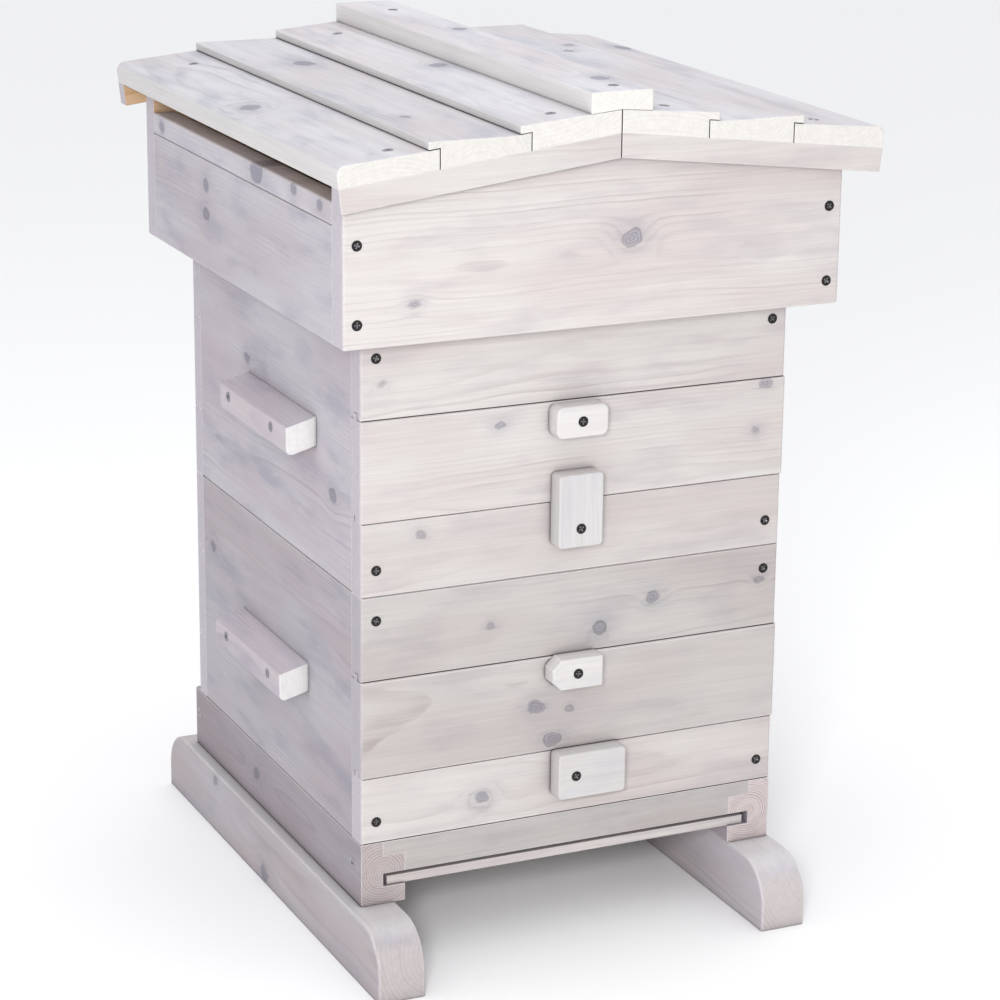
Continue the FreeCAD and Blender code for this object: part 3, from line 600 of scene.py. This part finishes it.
def metal(name, colour, roughness, handle_colour=None):
    """Screw or wire metal with a faint mottle, and a painted glint in narrow hollows such as a screw's
    recess.

    handle_colour is that of the screws in the handles, which reach beyond the boxes' sides.
    """
    material, tree, surface = new_material(name)
    place = add(tree, "ShaderNodeTexCoord").outputs["Object"]
    mottle = noise(tree, place, MOTTLE_SCALE)
    if handle_colour:
        outer_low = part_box("lower_handle_left")[0].x
        outer_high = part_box("lower_handle_right")[1].x
        centre = (outer_low + outer_high) / 2
        off = calc(tree, "ABSOLUTE", calc(tree, "SUBTRACT", split(tree, place)[0], centre))
        in_handle = calc(tree, "GREATER_THAN", off, (outer_high - outer_low) / 2 - HANDLE_SCREW_DEPTH)
        colour = mix(tree, in_handle, colour, handle_colour)
    # painted glint in the narrow hollows, such as a screw's cross recess
    near = {"Distance": RECESS_REACH}
    nearby = add(tree, "ShaderNodeAmbientOcclusion", near, samples=6, only_local=True)
    recess = ramp(tree, nearby.outputs["AO"], 0.75, 0.45, 0.0, 0.7)
    colour = mix(tree, recess, colour, RECESS_GLINT)
    tinted = mix(tree, ramp(tree, mottle, 0.35, 0.65, 0.0, 0.3), colour, TARNISH)
    tree.links.new(tinted, surface.inputs["Base Color"])
    tree.links.new(ramp(tree, mottle, 0.3, 0.7, roughness, roughness + 0.18), surface.inputs["Roughness"])
    surface.inputs["Metallic"].default_value = 0.9
    return material


def wax():
    """Beeswax foundation with a pressed cell pattern."""
    material, tree, surface = new_material("wax")
    place = add(tree, "ShaderNodeTexCoord").outputs["Object"]
    pattern = {"Vector": place, "Scale": WAX_CELLS, "Randomness": 0.0}
    cells = add(tree, "ShaderNodeTexVoronoi", pattern, feature="DISTANCE_TO_EDGE").outputs["Distance"]
    cloud = noise(tree, place, WAX_CLOUD_SCALE, 3.0)
    colour = mix(tree, ramp(tree, cloud, 0.3, 0.7), WAX_PALE, WAX_DEEP)
    tree.links.new(colour, surface.inputs["Base Color"])
    bump = add(tree, "ShaderNodeBump", {"Strength": 0.5, "Distance": WAX_RELIEF, "Height": cells})
    tree.links.new(bump.outputs[0], surface.inputs["Normal"])
    surface.inputs["Roughness"].default_value = 0.45
    surface.inputs["Subsurface Weight"].default_value = 0.15
    return material


def dress_metal_and_wax():
    """Dark screws in the boxes and the rim, zinc ones elsewhere, wax in the frames."""
    dark = metal("dark_screw", DARK_STEEL, 0.32, HANDLE_ZINC)
    zinc = metal("zinc_screw", ZINC, 0.30)
    sheet = wax()
    for name, piece in nodes.items():
        if name in ("lower_screws", "upper_screws", "rim_screws"):
            chosen = dark
        elif name.endswith("screws"):
            chosen = zinc
        elif name.endswith("foundations"):
            chosen = sheet
        else:
            continue
        piece.data.materials.clear()
        piece.data.materials.append(chosen)


# ---------------------------------------------------------------- wire mesh of the floor
MESH_PITCH = 0.004


def bar_into(points, faces, low, high):
    """Adds one square wire between two corners."""
    first = len(points)
    for x in (low.x, high.x):
        for y in (low.y, high.y):
            for z in (low.z, high.z):
                points.append((x, y, z))
    for corners in ((0, 1, 3, 2), (4, 6, 7, 5), (0, 4, 5, 1), (2, 3, 7, 6), (0, 2, 6, 4), (1, 5, 7, 3)):
        faces.append(tuple(first + corner for corner in corners))


def make_wire_mesh():
    """A welded grid of thin wires in place of the plain sheet."""
    low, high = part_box("mesh_floor")
    wire = (high.z - low.z) / 2
    points, faces = [], []
    count_x = round((high.x - low.x - wire) / MESH_PITCH)
    count_y = round((high.y - low.y - wire) / MESH_PITCH)
    for number in range(count_x + 1):
        x = low.x + number * (high.x - low.x - wire) / count_x
        bar_into(points, faces, Vector((x, low.y, low.z)), Vector((x + wire, high.y, low.z + wire)))
    for number in range(count_y + 1):
        y = low.y + number * (high.y - low.y - wire) / count_y
        bar_into(points, faces, Vector((low.x, y, high.z - wire)), Vector((high.x, y + wire, high.z)))
    mesh = bpy.data.meshes.new("floor_wires")
    mesh.from_pydata(points, [], faces)
    grid = bpy.data.objects.new("floor_wires", mesh)
    bpy.context.scene.collection.objects.link(grid)
    mesh.materials.append(metal("mesh_wire", WIRE, 0.35))
    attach(grid, "base")
    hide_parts("mesh_floor")


# ---------------------------------------------------------------- studio
FLOOR_SIZE = 60.0
FLOOR_COLOUR = (0.95, 0.95, 0.95, 1.0)
SKY_COLOUR = (0.975, 0.98, 1.0, 1.0)
SKY_AT_HORIZON = 0.32
SKY_OVERHEAD = 1.20
LIGHT_AIM = (0.0, 0.0, 0.4)
# name: place, size of the square, watts, colour
LIGHTS = {
    "key": ((-1.4, -2.5, 1.35), 0.5, 42.0, (0.985, 0.99, 1.0)),
    "top": ((0.2, 0.4, 2.6), 1.6, 9.0, (0.96, 0.98, 1.0)),
}
# the camera's angles in degrees, its distance from the aim point, and where that point is on the front
CAMERA_TURN = 24.85
CAMERA_TIP = 16.94
CAMERA_ROLL = 0.67
CAMERA_DISTANCE = 2.834
CAMERA_AIM_X = -0.0885
CAMERA_AIM_Z = 0.4445
SENSOR_WIDTH = 36.0
LENS_PER_SENSOR = 3.1114


def make_floor():
    """A wide white studio floor."""
    bpy.ops.mesh.primitive_plane_add(size=FLOOR_SIZE, location=(0, 0, 0))
    floor = bpy.context.object
    floor.name = "studio_floor"
    material, _, surface = new_material("studio_white")
    surface.inputs["Base Color"].default_value = FLOOR_COLOUR
    surface.inputs["Roughness"].default_value = 0.9
    floor.data.materials.append(material)


def make_light(name, place, size, power, colour):
    """A soft square light, turned towards the hive."""
    data = bpy.data.lights.new(name, "AREA")
    data.size = size
    data.energy = power
    data.color = colour
    lamp = bpy.data.objects.new(name, data)
    lamp.location = place
    lamp.rotation_mode = "QUATERNION"
    lamp.rotation_quaternion = (Vector(place) - Vector(LIGHT_AIM)).to_track_quat("Z", "Y")
    bpy.context.scene.collection.objects.link(lamp)


def make_studio():
    """White surroundings, brighter overhead, with the key light from the front left."""
    world = bpy.data.worlds.new("studio")
    bpy.context.scene.world = world
    world.use_nodes = True
    tree = world.node_tree
    sky = tree.nodes["Background"]
    sky.inputs["Color"].default_value = SKY_COLOUR
    up = split(tree, add(tree, "ShaderNodeTexCoord").outputs["Generated"])[2]
    tree.links.new(ramp(tree, up, 0.0, 1.0, SKY_AT_HORIZON, SKY_OVERHEAD), sky.inputs["Strength"])
    for name, (place, size, power, colour) in LIGHTS.items():
        make_light(name, place, size, power, colour)
    bpy.context.scene.view_settings.view_transform = "Standard"


def make_camera():
    """The camera stands to the front left and looks a little down."""
    turn, tip, roll = (math.radians(angle) for angle in (CAMERA_TURN, CAMERA_TIP, CAMERA_ROLL))
    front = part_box("lower_front_top_board")[0].y
    aim = Vector((CAMERA_AIM_X, front, CAMERA_AIM_Z))
    ahead = Vector((math.sin(turn) * math.cos(tip), math.cos(turn) * math.cos(tip), -math.sin(tip)))
    right = Vector((math.cos(turn), -math.sin(turn), 0.0))
    up = right.cross(ahead)
    rolled_right = right * math.cos(roll) + up * math.sin(roll)
    rolled_up = up * math.cos(roll) - right * math.sin(roll)
    data = bpy.data.cameras.new("camera")
    data.sensor_width = SENSOR_WIDTH
    data.lens = SENSOR_WIDTH * LENS_PER_SENSOR
    camera = bpy.data.objects.new("camera", data)
    axes = Matrix((rolled_right, rolled_up, -ahead)).transposed()
    camera.matrix_world = Matrix.Translation(aim - ahead * CAMERA_DISTANCE) @ axes.to_4x4()
    bpy.context.scene.collection.objects.link(camera)
    bpy.context.scene.camera = camera


dress_boards()
dress_metal_and_wax()
make_wire_mesh()
make_floor()
make_studio()
make_camera()
